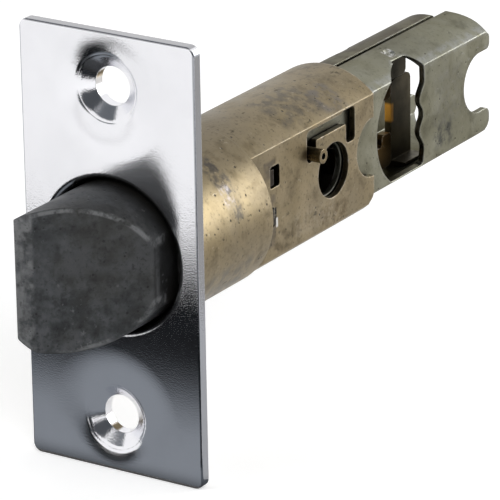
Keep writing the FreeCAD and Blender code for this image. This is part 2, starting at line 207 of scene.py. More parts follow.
class Effects:
    """Shader node groups that the finishes share, each made once."""

    def __init__(self) -> None:
        """Build every group."""
        self.mottle = self._mottle()
        self.scuffs = self._scuffs()
        self.pits = self._pits()
        self.edge_wear = self._edge_wear()
        self.band = self._band()
        # painted shade: darkening by ambient occlusion in corners and hollows
        self.painted_shade = self._painted_shade()

    def patches(self, graph: Graph, place: bpy.types.NodeSocket, scale: float,
                span: Span) -> bpy.types.NodeSocket:
        """Place a mottle that goes from nothing to full between two noise values."""
        return graph.group(self.mottle, {
            "Place": place, "Scale": scale, "Low": span[0], "High": span[1]})

    def within(self, graph: Graph, value: bpy.types.NodeSocket, middle: float, half: float,
               soft: float) -> bpy.types.NodeSocket:
        """Place a band: a mask of the values near a middle, with soft sides."""
        return graph.group(self.band, {"Value": value, "Middle": middle, "Half": half, "Soft": soft})

    @staticmethod
    def _start(name: str, inputs: Sequence[Tuple[str, str, Any]]
               ) -> Tuple[Graph, bpy.types.bpy_prop_collection, bpy.types.NodeSocket]:
        """Begin a group with one output, Mask.

        Args:
            name: the group's name.
            inputs: (name, socket type, starting value) of each input.

        Returns:
            The graph, the sockets of its inputs and the socket of its mask.
        """
        tree = bpy.data.node_groups.new(name, "ShaderNodeTree")
        for label, kind, value in inputs:
            socket = tree.interface.new_socket(label, in_out="INPUT", socket_type=kind)
            if value is not None:
                socket.default_value = value
        tree.interface.new_socket("Mask", in_out="OUTPUT", socket_type="NodeSocketFloat")
        graph = Graph(tree)
        given = graph.add("NodeGroupInput").outputs
        return graph, given, graph.add("NodeGroupOutput").inputs["Mask"]

    def _mottle(self) -> bpy.types.NodeTree:
        """Soft blotches.

        Returns:
            The node group.
        """
        graph, given, mask = self._start("mottle", (
            ("Place", "NodeSocketVector", None), ("Scale", "NodeSocketFloat", 0.2),
            ("Low", "NodeSocketFloat", 0.4), ("High", "NodeSocketFloat", 0.7)))
        noise = graph.add("ShaderNodeTexNoise", {
            "Vector": given["Place"], "Scale": given["Scale"], "Detail": 6.0, "Roughness": 0.6})
        graph.feed(mask, graph.smooth(noise.outputs[0], given["Low"], given["High"]))
        return graph.tree

    def _scuffs(self) -> bpy.types.NodeTree:
        """Short ragged strokes in clusters, drawn out along the least stretched axis.

        Returns:
            The node group.
        """
        bend_scale, bend = 1.7, (1.3, 1.3, 1.3)
        core = 0.4
        cluster_scale, cluster_top, cluster_gain, cluster_soft = 0.2, 0.75, 0.4, 0.1
        graph, given, mask = self._start("scuffs", (
            ("Place", "NodeSocketVector", None), ("Stretch", "NodeSocketVector", (1.0, 1.0, 1.0)),
            ("Scale", "NodeSocketFloat", 1.0), ("Width", "NodeSocketFloat", 0.3),
            ("Amount", "NodeSocketFloat", 0.5)))
        ragged = graph.add("ShaderNodeTexNoise", {
            "Vector": given["Place"], "Scale": bend_scale, "Detail": 4.0})
        bent = graph.add("ShaderNodeVectorMath", {
            0: ragged.outputs["Color"], 1: bend, 2: given["Place"]}, operation="MULTIPLY_ADD")
        stretched = graph.add("ShaderNodeVectorMath", {
            0: bent.outputs[0], 1: given["Stretch"]}, operation="MULTIPLY")
        cell = graph.add("ShaderNodeTexVoronoi", {
            "Vector": stretched.outputs[0], "Scale": given["Scale"], "Randomness": 1.0})
        chance = graph.add("ShaderNodeSeparateColor", {0: cell.outputs["Color"]})
        width = graph.math("MULTIPLY", given["Width"], chance.outputs[1])
        stroke = graph.inverse(graph.smooth(
            cell.outputs["Distance"], graph.math("MULTIPLY", width, core), width))
        patch = graph.add("ShaderNodeTexNoise", {
            "Vector": given["Place"], "Scale": cluster_scale, "Detail": 3.0})
        bar = graph.math("SUBTRACT", cluster_top, graph.math("MULTIPLY", given["Amount"], cluster_gain))
        shown = graph.smooth(patch.outputs[0], bar, graph.math("ADD", bar, cluster_soft))
        graph.feed(mask, graph.math("MULTIPLY", stroke, shown, clamp=True))
        return graph.tree

    def _pits(self) -> bpy.types.NodeTree:
        """Small specks of uneven size.

        Returns:
            The node group.
        """
        core = 0.5
        graph, given, mask = self._start("pits", (
            ("Place", "NodeSocketVector", None), ("Scale", "NodeSocketFloat", 1.0),
            ("Size", "NodeSocketFloat", 0.2), ("Amount", "NodeSocketFloat", 0.5)))
        cell = graph.add("ShaderNodeTexVoronoi", {
            "Vector": given["Place"], "Scale": given["Scale"], "Randomness": 1.0})
        chance = graph.add("ShaderNodeSeparateColor", {0: cell.outputs["Color"]})
        size = graph.math("MULTIPLY", given["Size"], chance.outputs[1])
        speck = graph.inverse(graph.smooth(
            cell.outputs["Distance"], graph.math("MULTIPLY", size, core), size))
        kept = graph.math("LESS_THAN", chance.outputs[0], given["Amount"])
        graph.feed(mask, graph.math("MULTIPLY", speck, kept, clamp=True))
        return graph.tree

    def _edge_wear(self) -> bpy.types.NodeTree:
        """Rubbed edges: where the rounded normal leaves the face's own, broken up by noise.

        Returns:
            The node group.
        """
        turn_low, turn_high = 0.006, 0.13
        noise_scale, noise_gain, noise_high = 0.9, 0.62, 0.75
        graph, given, mask = self._start("edge_wear", (
            ("Place", "NodeSocketVector", None), ("Radius", "NodeSocketFloat", 0.4 * MM),
            ("Breakup", "NodeSocketFloat", 0.5)))
        round_edge = graph.add("ShaderNodeBevel", {"Radius": given["Radius"]}, samples=EDGE_SAMPLES)
        face = graph.add("ShaderNodeNewGeometry")
        facing = graph.add("ShaderNodeVectorMath", {
            0: round_edge.outputs[0], 1: face.outputs["Normal"]}, operation="DOT_PRODUCT")
        edge = graph.smooth(graph.inverse(facing.outputs["Value"]), turn_low, turn_high)
        noise = graph.add("ShaderNodeTexNoise", {
            "Vector": given["Place"], "Scale": noise_scale, "Detail": 5.0, "Roughness": 0.7})
        noise_low = graph.math("MULTIPLY", given["Breakup"], noise_gain)
        uneven = graph.smooth(noise.outputs[0], noise_low, noise_high)
        graph.feed(mask, graph.math("MULTIPLY", edge, uneven, clamp=True))
        return graph.tree

    def _band(self) -> bpy.types.NodeTree:
        """1 within half a width of a middle value, with soft sides.

        Returns:
            The node group.
        """
        graph, given, mask = self._start("band", (
            ("Value", "NodeSocketFloat", 0.0), ("Middle", "NodeSocketFloat", 0.0),
            ("Half", "NodeSocketFloat", 1.0), ("Soft", "NodeSocketFloat", 1.0)))
        away = graph.math("ABSOLUTE", graph.math("SUBTRACT", given["Value"], given["Middle"]))
        outer = graph.math("ADD", given["Half"], given["Soft"])
        graph.feed(mask, graph.inverse(graph.smooth(away, given["Half"], outer)))
        return graph.tree

    def _painted_shade(self) -> bpy.types.NodeTree:
        """Painted shade: 1 deep in corners and hollows, where little light reaches.

        Returns:
            The node group.
        """
        shut, free = 0.2, 0.92
        graph, given, mask = self._start("painted_shade", (("Reach", "NodeSocketFloat", 3.0 * MM),))
        light = graph.add("ShaderNodeAmbientOcclusion", {"Distance": given["Reach"]}, samples=EDGE_SAMPLES)
        graph.feed(mask, graph.inverse(graph.smooth(light.outputs["AO"], shut, free)))
        return graph.tree


@dataclass(frozen=True)
class LocalMark:
    """A soft patch of another colour round one point of a piece, in millimetres."""

    middle: Point
    half: Point
    colour: Colour
    strength: float
    soft: float = 1.5
    breakup: float = 0.6


@dataclass(frozen=True)
class MetalFinish:
    """A metal surface with blotches, stains, scratches, specks and rubbed edges, and painted shade in its
    hollows.
    """

    name: str
    base: Colour
    blotch: Colour
    blotch_scale: float = 0.25
    blotch_share: float = 0.7
    tint: Colour = (0.1, 0.1, 0.1)
    tint_share: float = 0.0
    stain: Colour = (0.08, 0.07, 0.05)
    stain_scale: float = 0.5
    stain_share: float = 0.0
    grit_share: float = 0.0
    edge_tint: Colour = (1.0, 1.0, 1.0)
    dark: Colour = (0.03, 0.027, 0.022)
    scuff_stretch: Point = (1.0, 1.0, 1.0)
    scuff_amount: float = 0.4
    scuff_strength: float = 0.6
    scuff_depth: float = 0.006
    pit_scale: float = 0.9
    pit_size: float = 0.22
    pit_amount: float = 0.3
    pit_strength: float = 0.8
    pit_depth: float = 0.03
    fleck: Colour = (0.5, 0.5, 0.48)
    fleck_strength: float = 0.0
    specular: float = 0.5
    wear: Colour = (0.7, 0.68, 0.62)
    wear_radius: float = 0.35
    wear_strength: float = 0.7
    wear_free_y: Optional[float] = None
    metallic: float = 1.0
    smooth_roughness: float = 0.28
    dull_roughness: float = 0.42
    grain_scale: float = 3.0
    grain_height: float = 0.004
    grain_detail: float = 4.0
    grain_roughness: float = 0.55
    edge_radius: float = 0.12
    # painted shade: colour, reach and strength of the darkening in corners and hollows
    painted_shade: Colour = (0.012, 0.010, 0.008)
    painted_shade_reach: float = 9.0
    painted_shade_strength: float = 0.85
    marks: Tuple[LocalMark, ...] = field(default_factory=tuple)

    def material(self, effects: Effects) -> bpy.types.Material:
        """Build the material.

        Args:
            effects: the shared node groups.

        Returns:
            The new material.
        """
        made = bpy.data.materials.new(self.name)
        made.use_nodes = True
        graph = Graph(made.node_tree)
        shader = made.node_tree.nodes["Principled BSDF"]
        shader.inputs["Metallic"].default_value = self.metallic
        shader.inputs["Specular IOR Level"].default_value = self.specular
        shader.inputs["Specular Tint"].default_value = (*self.edge_tint, 1.0)
        place = self._place(graph)
        blotch = effects.patches(graph, place, self.blotch_scale, BLOTCH_SPAN)
        scuffs = graph.group(effects.scuffs, {
            "Place": place, "Stretch": self.scuff_stretch, "Scale": SCUFF_SCALE, "Width": SCUFF_WIDTH,
            "Amount": self.scuff_amount})
        pits = graph.group(effects.pits, {
            "Place": place, "Scale": self.pit_scale, "Size": self.pit_size, "Amount": self.pit_amount})
        colour = self._plating(graph, effects, place, blotch)
        colour = self._mark(graph, effects, place, colour)
        if self.grit_share > 0.0:
            grit = effects.patches(graph, place, GRIT_SCALE, GRIT_SPAN)
            colour = graph.lay(grit, self.grit_share, colour, self.dark)
        colour = graph.lay(scuffs, self.scuff_strength, colour, self.dark)
        colour = graph.lay(pits, self.pit_strength, colour, self.dark)
        colour = self._use(graph, effects, place, colour)
        graph.feed(shader.inputs["Base Color"], colour)
        span = self.dull_roughness - self.smooth_roughness
        rough = graph.math("ADD", self.smooth_roughness, graph.math("MULTIPLY", blotch, span))
        rough = graph.math("ADD", rough, graph.math("MULTIPLY", scuffs, SCUFF_ROUGHNESS), clamp=True)
        graph.feed(shader.inputs["Roughness"], rough)
        round_edge = graph.add("ShaderNodeBevel", {"Radius": self.edge_radius * MM}, samples=EDGE_SAMPLES)
        bump = graph.add("ShaderNodeBump", {
            "Strength": 1.0, "Distance": MM, "Height": self._height(graph, place, scuffs, pits),
            "Normal": round_edge.outputs[0]})
        graph.feed(shader.inputs["Normal"], bump.outputs[0])
        return made

    @staticmethod
    def _place(graph: Graph) -> bpy.types.NodeSocket:
        """Object coordinates in millimetres.

        Args:
            graph: the material's graph.

        Returns:
            The coordinates.
        """
        where = graph.add("ShaderNodeTexCoord").outputs["Object"]
        return graph.add("ShaderNodeVectorMath", {
            0: where, "Scale": 1.0 / MM}, operation="SCALE").outputs[0]

    def _plating(self, graph: Graph, effects: Effects, place: bpy.types.NodeSocket,
                 blotch: bpy.types.NodeSocket) -> bpy.types.NodeSocket:
        """The metal's own colour, with its blotches and stains.

        Args:
            graph: the material's graph.
            effects: the shared node groups.
            place: coordinates in millimetres.
            blotch: the mask of blotches.

        Returns:
            The colour.
        """
        colour = graph.lay(blotch, self.blotch_share, self.base, self.blotch)
        if self.tint_share > 0.0:
            wide = effects.patches(graph, place, TINT_SCALE, TINT_SPAN)
            colour = graph.lay(wide, self.tint_share, colour, self.tint)
        if self.stain_share > 0.0:
            stains = effects.patches(graph, place, self.stain_scale, STAIN_SPAN)
            colour = graph.lay(stains, self.stain_share, colour, self.stain)
        return colour

    def _mark(self, graph: Graph, effects: Effects, place: bpy.types.NodeSocket,
              colour: bpy.types.NodeSocket) -> bpy.types.NodeSocket:
        """Lay the local marks over a colour.

        Args:
            graph: the material's graph.
            effects: the shared node groups.
            place: coordinates in millimetres.
            colour: the colour below.

        Returns:
            The colour with the marks.
        """
        if not self.marks:
            return colour
        parts = graph.add("ShaderNodeSeparateXYZ", {0: place})
        for mark in self.marks:
            mask: Any = 1.0
            if mark.breakup > 0.0:
                mask = effects.patches(graph, place, mark.breakup, MARK_SPAN)
            for axis, middle, half in zip(Axis, mark.middle, mark.half):
                side = effects.within(graph, parts.outputs[axis.value], middle, half, mark.soft)
                mask = graph.math("MULTIPLY", mask, side)
            colour = graph.lay(mask, mark.strength, colour, mark.colour)
        return colour

    def _use(self, graph: Graph, effects: Effects, place: bpy.types.NodeSocket,
             colour: bpy.types.NodeSocket) -> bpy.types.NodeSocket:
        """Lay the traces of use over a colour: pale flecks and rubbed edges, then painted shade in corners
        and hollows.

        Args:
            graph: the material's graph.
            effects: the shared node groups.
            place: coordinates in millimetres.
            colour: the colour below.

        Returns:
            The colour with the traces.
        """
        if self.fleck_strength > 0.0:
            shifted = graph.add("ShaderNodeVectorMath", {0: place, 1: FLECK_SHIFT}, operation="ADD")
            flecks = graph.group(effects.scuffs, {
                "Place": shifted.outputs[0], "Stretch": self.scuff_stretch, "Scale": FLECK_SCALE,
                "Width": FLECK_WIDTH, "Amount": FLECK_AMOUNT})
            colour = graph.lay(flecks, self.fleck_strength, colour, self.fleck)
        rubbed = graph.group(effects.edge_wear, {
            "Place": place, "Radius": self.wear_radius * MM, "Breakup": WEAR_BREAKUP})
        if self.wear_free_y is not None:
            back = graph.add("ShaderNodeSeparateXYZ", {0: place}).outputs[Axis.BACK.value]
            ring = effects.within(graph, back, self.wear_free_y, WEAR_FREE_HALF, WEAR_FREE_SOFT)
            rubbed = graph.math("MULTIPLY", rubbed, graph.inverse(ring))
        colour = graph.lay(rubbed, self.wear_strength, colour, self.wear)
        # painted shade: ambient occlusion darkens the colour in corners and hollows
        corners = graph.group(effects.painted_shade, {"Reach": self.painted_shade_reach * MM})
        return graph.lay(corners, self.painted_shade_strength, colour, self.painted_shade)

    def _height(self, graph: Graph, place: bpy.types.NodeSocket, scuffs: bpy.types.NodeSocket,
                pits: bpy.types.NodeSocket) -> bpy.types.NodeSocket:
        """Fine grain, and the depth of scratches and specks.

        Args:
            graph: the material's graph.
            place: coordinates in millimetres.
            scuffs: the mask of scratches.
            pits: the mask of specks.

        Returns:
            The height in millimetres.
        """
        grain = graph.add("ShaderNodeTexNoise", {
            "Vector": place, "Scale": self.grain_scale, "Detail": self.grain_detail,
            "Roughness": self.grain_roughness})
        height = graph.math("MULTIPLY", grain.outputs[0], self.grain_height)
        for mask, depth in ((pits, self.pit_depth), (scuffs, self.scuff_depth)):
            height = graph.math("SUBTRACT", height, graph.math("MULTIPLY", mask, depth))
        return height


@dataclass(frozen=True)
class ChromeFinish(MetalFinish):
    """Bright plating whose sheet is drawn in round the screw holes."""

    scuff_depth: float = 0.0
    pit_depth: float = 0.01
    grain_detail: float = 2.0
    grain_roughness: float = 0.6
    hole_z: float = 21.43
    hole_r: float = 4.3
    draw_reach: float = 5.2
    draw_depth: float = 0.9

    def _height(self, graph: Graph, place: bpy.types.NodeSocket, scuffs: bpy.types.NodeSocket,
                pits: bpy.types.NodeSocket) -> bpy.types.NodeSocket:
        """As on other metals, with the drawn-in rims of the two holes.

        Args:
            graph: the material's graph.
            place: coordinates in millimetres.
            scuffs: the mask of scratches.
            pits: the mask of specks.

        Returns:
            The height in millimetres.
        """
        parts = graph.add("ShaderNodeSeparateXYZ", {0: place}).outputs
        up = graph.math("SUBTRACT", graph.math("ABSOLUTE", parts[Axis.UP.value]), self.hole_z)
        drawn = graph.add("ShaderNodeMapRange", {
            "Value": graph.length(up, parts[Axis.ACROSS.value]), "From Min": self.hole_r,
            "From Max": self.hole_r + self.draw_reach, "To Min": 1.0, "To Max": 0.0}).outputs[0]
        dip = graph.math("MULTIPLY", graph.math("MULTIPLY", drawn, drawn), self.draw_depth)
        return graph.math("SUBTRACT", super()._height(graph, place, scuffs, pits), dip)


@dataclass(frozen=True)
class CastFinish(MetalFinish):
    """Dull casting whose sloped front is rubbed pale along its curved edges."""

    rim_r: float = 9.0
    rim_half: float = 0.12
    rim_soft: float = 0.25
    rim_front: float = -1.5
    rim: Colour = (0.20, 0.205, 0.21)
    rim_strength: float = 0.75

    def _mark(self, graph: Graph, effects: Effects, place: bpy.types.NodeSocket,
              colour: bpy.types.NodeSocket) -> bpy.types.NodeSocket:
        """As on other metals, with the rubbed edges.

        Args:
            graph: the material's graph.
            effects: the shared node groups.
            place: coordinates in millimetres.
            colour: the colour below.

        Returns:
            The colour with the marks.
        """
        colour = super()._mark(graph, effects, place, colour)
        parts = graph.add("ShaderNodeSeparateXYZ", {0: place}).outputs
        far = graph.length(parts[Axis.ACROSS.value], parts[Axis.UP.value])
        edge = effects.within(graph, far, self.rim_r, self.rim_half, self.rim_soft)
        out = graph.math("LESS_THAN", parts[Axis.BACK.value], self.rim_front)
        uneven = effects.patches(graph, place, RIM_SCALE, RIM_SPAN)
        mask = graph.math("MULTIPLY", graph.math("MULTIPLY", edge, out), uneven)
        return graph.lay(mask, self.rim_strength, colour, self.rim)


def plate_side_reflections(half_w: float = 12.7, half_h: float = 28.575) -> Tuple[LocalMark, ...]:
    """Painted reflection: grey bands on the thin sides of the plate's sheet.

    Args:
        half_w: half the plate's width in millimetres.
        half_h: half its height.

    Returns:
        One mark for each side.
    """
    deep, thick, beyond = 0.16, 9.0, (20.0, 40.0)
    look = {"strength": 0.9, "soft": 0.12, "breakup": 0.0}
    rims = [LocalMark((side * half_w, 0.0, 0.0), (deep, thick, beyond[1]), (0.30, 0.31, 0.34), **look)
            for side in (1, -1)]
    rims += [LocalMark((0.0, 0.0, side * half_h), (beyond[0], thick, deep), (0.36, 0.36, 0.38), **look)
             for side in (1, -1)]
    return tuple(rims)


CHROME = ChromeFinish(
    "bright_chrome", base=(0.89, 0.89, 0.92), blotch=(0.84, 0.84, 0.87), blotch_scale=0.12,
    dark=(0.20, 0.20, 0.22), scuff_stretch=(1.0, 1.0, 0.3), scuff_amount=0.2, scuff_strength=0.1,
    pit_scale=0.5, pit_size=0.16, pit_amount=0.03, pit_strength=0.6,
    wear=(0.88, 0.88, 0.90), wear_radius=0.2, wear_strength=0.3, painted_shade_reach=2.6, painted_shade_strength=0.9,
    smooth_roughness=0.09, dull_roughness=0.13, grain_scale=5.0, grain_height=0.016, edge_radius=0.15,
    # the plate's thin sides get a painted grey reflection
    marks=plate_side_reflections())

YELLOW_ZINC = MetalFinish(
    "yellow_zinc", base=(0.236, 0.188, 0.108), blotch=(0.305, 0.250, 0.164), blotch_scale=0.16,
    tint=(0.160, 0.134, 0.092), tint_share=0.5,
    dark=(0.028, 0.024, 0.018), scuff_stretch=(1.0, 0.35, 1.0), scuff_amount=0.55, scuff_strength=0.6,
    pit_scale=1.1, pit_size=0.26, pit_amount=0.45, pit_strength=0.9,
    stain=(0.105, 0.080, 0.043), stain_scale=0.45, stain_share=0.65, grit_share=0.55,
    fleck=(0.36, 0.31, 0.23), fleck_strength=0.5, wear_free_y=19.1,
    wear=(0.60, 0.55, 0.46), wear_radius=0.5, wear_strength=0.75,
    smooth_roughness=0.36, dull_roughness=0.50, edge_radius=0.2,
    marks=(
        # scrapes, a pale rub and stains of the round front
        LocalMark((6.6, 11.4, 8.0), (1.2, 1.0, 1.2), (0.045, 0.042, 0.042), 0.85, soft=1.0, breakup=0.8),
        LocalMark((8.2, 11.9, 6.6), (0.8, 0.7, 0.8), (0.060, 0.056, 0.054), 0.8, soft=0.8, breakup=1.1),
        LocalMark((8.9, 11.0, 5.4), (0.4, 0.6, 0.9), (0.36, 0.34, 0.36), 0.6, soft=0.7, breakup=1.0),
        LocalMark((9.9, 12.0, 3.4), (0.4, 0.5, 0.8), (0.060, 0.056, 0.050), 0.8, soft=0.7, breakup=1.2),
        LocalMark((8.6, 10.5, -6.0), (1.6, 4.0, 1.8), (0.115, 0.105, 0.085), 0.7, soft=1.5, breakup=0.5),
        # stains of the top behind the shoulder
        LocalMark((3.3, 34.0, 10.0), (2.4, 4.0, 1.2), (0.085, 0.078, 0.070), 0.6, breakup=0.8),
        LocalMark((5.0, 40.6, 9.2), (1.4, 1.6, 1.2), (0.135, 0.130, 0.135), 0.6, breakup=0.6),
        # painted shade of the shoulder's slope at the front of the flat, then stains and a pale rub of the
        # flat
        LocalMark((7.2, 23.6, 0.0), (0.6, 1.1, 5.5), (0.100, 0.084, 0.068), 0.75, soft=0.6, breakup=0.35),
        LocalMark((7.2, 27.5, -5.6), (0.6, 2.6, 1.0), (0.095, 0.070, 0.036), 0.7, soft=0.9, breakup=0.7),
        LocalMark((7.2, 39.0, -6.0), (0.6, 3.0, 1.0), (0.110, 0.078, 0.040), 0.6, soft=0.9, breakup=0.9),
        LocalMark((7.2, 34.3, -5.0), (0.6, 4.0, 1.0), (0.36, 0.31, 0.23), 0.4, breakup=1.6),
        # painted shade in the mouth of the lower slot, and a painted highlight on its edge
        LocalMark((7.2, 24.7, -1.9), (0.5, 0.35, 1.1), (0.012, 0.010, 0.009), 1.0, soft=0.15, breakup=0.0),
        LocalMark((7.2, 25.2, -2.8), (0.5, 0.08, 0.5), (0.80, 0.79, 0.78), 0.9, soft=0.25, breakup=0.0),
    ))

# darker copy of the yellow zinc for the plates inside the tail: painted shade
YELLOW_INNER_SHADED = MetalFinish(
    "yellow_zinc_inner_shaded", base=(0.150, 0.088, 0.026), blotch=(0.080, 0.052, 0.020), blotch_scale=0.3,
    pit_amount=0.2, scuff_amount=0.4, smooth_roughness=0.28, dull_roughness=0.42,
    painted_shade_reach=6.0, painted_shade_strength=0.9)

# near-black copy of the yellow zinc for the spring seat inside the tube: painted shade
YELLOW_SEAT_SHADED = MetalFinish(
    "yellow_zinc_seat_shaded", base=(0.022, 0.015, 0.009), blotch=(0.014, 0.010, 0.007), blotch_scale=0.3,
    pit_amount=0.2, scuff_amount=0.4, wear_strength=0.2, smooth_roughness=0.30, dull_roughness=0.46,
    painted_shade_reach=6.0, painted_shade_strength=0.9)

SPRING_BRONZE = MetalFinish(
    "yellow_spring_steel", base=(0.23, 0.175, 0.095), blotch=(0.10, 0.078, 0.042), blotch_scale=0.6,
    pit_amount=0.2, scuff_amount=0.4, wear=(0.60, 0.55, 0.45), wear_radius=0.2,
    smooth_roughness=0.26, dull_roughness=0.38, painted_shade_reach=3.0)

SPRING_WIRE = MetalFinish(
    "spring_wire", base=(0.34, 0.34, 0.35), blotch=(0.22, 0.22, 0.22), blotch_scale=0.5,
    pit_amount=0.1, scuff_amount=0.3, smooth_roughness=0.22, dull_roughness=0.34, edge_radius=0.05,
    painted_shade_reach=4.0, painted_shade_strength=0.6)

ZINC_CASTING = CastFinish(
    "zinc_casting", base=(0.040, 0.043, 0.045), blotch=(0.096, 0.100, 0.106), blotch_scale=0.42,
    blotch_share=0.9, tint=(0.044, 0.042, 0.036), tint_share=0.5, specular=0.3,
    stain=(0.016, 0.017, 0.018), stain_scale=0.9, stain_share=0.5, grit_share=0.4,
    fleck=(0.16, 0.165, 0.17), fleck_strength=0.5, dark=(0.009, 0.009, 0.010),
    scuff_stretch=(1.0, 1.0, 0.5), scuff_amount=0.5, scuff_strength=0.35,
    pit_scale=1.1, pit_size=0.30, pit_amount=0.45, pit_strength=0.5,
    wear=(0.17, 0.175, 0.18), wear_radius=0.7, wear_strength=0.75, metallic=0.35,
    smooth_roughness=0.42, dull_roughness=0.60, grain_scale=2.2, grain_height=0.02, edge_radius=0.4,
    painted_shade_reach=2.0,
    marks=(
        # rubbed nose with a painted highlight where it rounds, pale middle of the slope and rubbed strip
        # behind its end
        LocalMark((-4.3, -14.1, 0.0), (1.4, 0.8, 9.0), (0.165, 0.168, 0.172), 0.9, soft=0.4, breakup=0.5),
        LocalMark((3.0, -9.0, 3.0), (6.0, 6.0, 1.6), (0.085, 0.088, 0.094), 0.55, breakup=0.35),
        LocalMark((8.1, -3.2, 0.0), (0.5, 0.25, 5.0), (0.16, 0.165, 0.17), 0.7, soft=0.3, breakup=0.5),
        # painted shade on the part that runs in the plate's hole
        LocalMark((0.0, 2.0, 0.0), (12.0, 4.0, 12.0), (0.012, 0.012, 0.013), 0.75, soft=3.0, breakup=0.0),
    ))

DARK_STEEL = MetalFinish(
    "oiled_dark_steel", base=(0.072, 0.058, 0.029), blotch=(0.046, 0.037, 0.018), blotch_scale=0.3,
    wear=(0.16, 0.14, 0.09), wear_strength=0.3, smooth_roughness=0.34, dull_roughness=0.52,
    painted_shade_reach=5.0, painted_shade_strength=0.6,
    marks=(
        # warm glint of the web's front edge
        LocalMark((0.0, 64.6, -1.0), (0.6, 0.3, 1.0), (0.70, 0.34, 0.05), 0.85, soft=0.5, breakup=0.0),
    ))

GREY_ZINC = MetalFinish(
    "grey_zinc_plate", base=(0.248, 0.244, 0.186), blotch=(0.315, 0.312, 0.256), blotch_scale=0.2,
    tint=(0.185, 0.185, 0.150), tint_share=0.5,
    dark=(0.030, 0.028, 0.022), scuff_stretch=(1.0, 0.3, 1.0), scuff_amount=0.42, scuff_strength=0.5,
    pit_scale=1.0, pit_size=0.24, pit_amount=0.3, pit_strength=0.7,
    stain=(0.110, 0.108, 0.078), stain_scale=0.32, stain_share=0.6, grit_share=0.3,
    edge_tint=(0.45, 0.43, 0.41), fleck=(0.36, 0.36, 0.34), fleck_strength=0.5,
    wear=(0.40, 0.41, 0.41), wear_radius=0.8, wear_strength=0.5,
    smooth_roughness=0.30, dull_roughness=0.44, edge_radius=0.25,
    marks=(
        # stain and pale rub of the near side
        LocalMark((6.1, 68.7, -4.1), (0.6, 1.6, 0.9), (0.060, 0.064, 0.070), 0.75, breakup=0.9),
        LocalMark((6.1, 70.0, 1.0), (0.6, 3.0, 3.0), (0.27, 0.27, 0.25), 0.35, breakup=1.4),
        # painted highlight on a small dimple of the top, painted shade of the far flap and a painted
        # highlight along the near bend
        LocalMark((2.6, 60.7, 8.9), (0.6, 0.7, 0.6), (0.85, 0.85, 0.83), 0.95, soft=0.4, breakup=2.0),
        LocalMark((-4.6, 52.0, 9.4), (3.8, 40.0, 1.6), (0.125, 0.115, 0.106), 0.6, soft=0.4, breakup=0.35),
        LocalMark((6.0, 66.0, 7.5), (0.5, 18.0, 0.5), (0.36, 0.37, 0.37), 0.5, soft=0.7, breakup=0.7),
        # painted shade inside the case, behind the post hole and behind the spindle opening
        LocalMark((0.0, 38.9, 0.0), (5.35, 7.0, 6.0), (0.014, 0.012, 0.009), 0.95, soft=0.3, breakup=0.0),
        LocalMark((0.0, 58.0, 0.0), (5.35, 12.0, 6.6), (0.050, 0.042, 0.022), 0.92, soft=0.3, breakup=0.0),
    ))


class Palette:
    """Materials of the finishes, each made once."""

    def __init__(self) -> None:
        """Make the shared effects; materials follow when they are asked for."""
        self.effects = Effects()
        self.made: Dict[str, bpy.types.Material] = {}

    def material(self, finish: MetalFinish) -> bpy.types.Material:
        """Find or make a finish's material.

        Args:
            finish: the finish.

        Returns:
            Its material.
        """
        if finish.name not in self.made:
            self.made[finish.name] = finish.material(self.effects)
        return self.made[finish.name]


@dataclass
class SubAssembly:
    """Nodes of one body, and the finish that each of them gets."""

    body: Body
    finishes: Dict[str, MetalFinish]

    def dress(self, palette: Palette) -> None:
        """Give every node its material.

        Args:
            palette: the materials.
        """
        for name, finish in self.finishes.items():
            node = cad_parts[name]
            for slot in node.material_slots:
                slot.material = palette.material(finish)
            LOG.info("%s: %s on body %s", name, finish.name, self.body.value)

    def build(self, palette: Palette) -> List[bpy.types.Object]:
        """Make the pieces that the scene draws itself; there are none here."""
        return []


